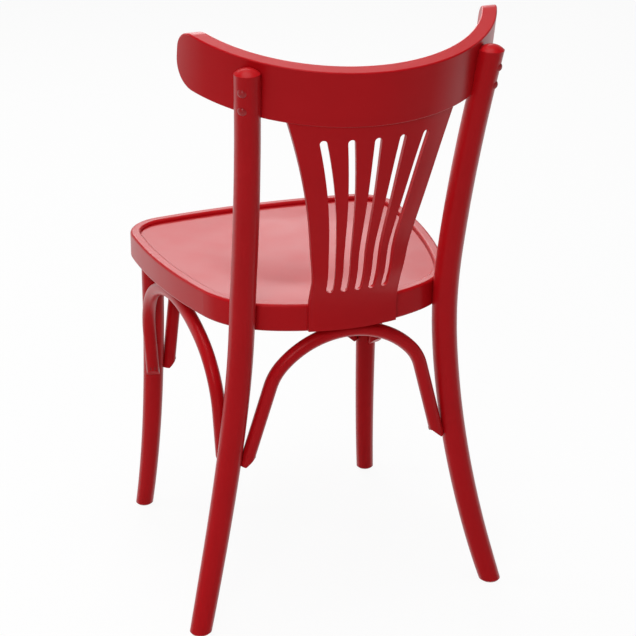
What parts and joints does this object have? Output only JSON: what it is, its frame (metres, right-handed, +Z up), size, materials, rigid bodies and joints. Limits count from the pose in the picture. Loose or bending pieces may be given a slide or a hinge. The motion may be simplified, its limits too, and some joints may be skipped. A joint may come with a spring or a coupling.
{
  "type": "bentwood dining chair",
  "caption": "Painted bentwood dining chair with a wrap-around crest rail, slotted fan back splat, dished round-cornered seat and bent arches bracing the legs.",
  "frame": {"origin": "on the floor, under the middle of the chair's overall width and depth", "axes": "+Z up, -Y to the front where the sitter's knees go, +X to the sitter's left"},
  "size_m": [0.4612, 0.5303, 0.83],
  "materials": {
    "red_lacquer_wood": "satin red lacquer over beech",
    "red_painted_screw": "steel screw painted over with the chair's red",
    "zinc_steel_bolt": "bright zinc"
  },
  "bodies": {
    "root": {"seat_frame": "red_lacquer_wood", "seat_panel": "red_lacquer_wood", "rear_leg_left": "red_lacquer_wood", "rear_leg_right": "red_lacquer_wood", "front_leg_left": "red_lacquer_wood", "front_leg_right": "red_lacquer_wood", "crest_rail": "red_lacquer_wood", "back_splat": "red_lacquer_wood", "rear_arch": "red_lacquer_wood", "front_arch": "red_lacquer_wood", "left_arch": "red_lacquer_wood", "right_arch": "red_lacquer_wood", "crest_screws": "red_painted_screw", "splat_screws": "red_painted_screw", "arch_foot_screws": "red_painted_screw", "arch_crown_screws": "red_painted_screw", "seat_bolts": "zinc_steel_bolt"}
  },
  "joints": []
}
